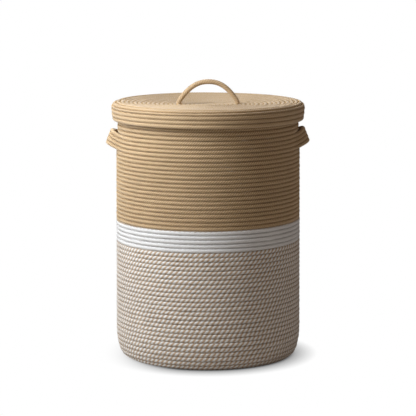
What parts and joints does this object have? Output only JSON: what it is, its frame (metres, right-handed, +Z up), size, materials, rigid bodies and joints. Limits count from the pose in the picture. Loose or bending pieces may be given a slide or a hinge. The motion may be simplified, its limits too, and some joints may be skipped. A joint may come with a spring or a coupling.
{
  "type": "laundry basket",
  "caption": "Round lidded laundry basket of coiled cotton rope, with side handles bowed out of its wall and a rope loop on the dished lid.",
  "frame": {"origin": "centre of the flat underside, on the surface that the basket stands on", "axes": "+Z up along the basket's axis, X through the two side handles and through both feet of the lid's loop, -Y towards the front"},
  "size_m": [0.4424, 0.4195, 0.6029],
  "materials": {
    "two_tone_rope": "matte twisted cotton",
    "white_rope": "matte braided cotton",
    "tan_rope": "matte braided cotton"
  },
  "bodies": {
    "basket": {"base_coil": "two_tone_rope", "bottom_edge": "two_tone_rope", "lower_wall": "two_tone_rope", "white_band": "white_rope", "upper_wall": "tan_rope", "handle_band": "tan_rope", "rim_coil": "tan_rope"},
    "lid": {"lid_skirt": "tan_rope", "lid_top": "tan_rope", "loop_knot_left": "tan_rope", "loop_knot_right": "tan_rope"},
    "loop": {"lid_loop": "tan_rope"}
  },
  "joints": [
    {"name": "lid_lift", "type": "slide", "parent": "basket", "child": "lid", "axis": [0, 0, 1], "range_m": [0, 0.25]},
    {"name": "loop_fold", "type": "hinge", "parent": "lid", "child": "loop", "pos_m": [0, 0, 0.55485], "axis": [1, 0, 0], "range_deg": [-75, 75], "stiffness_Nm_per_rad": 0.05}
  ]
}
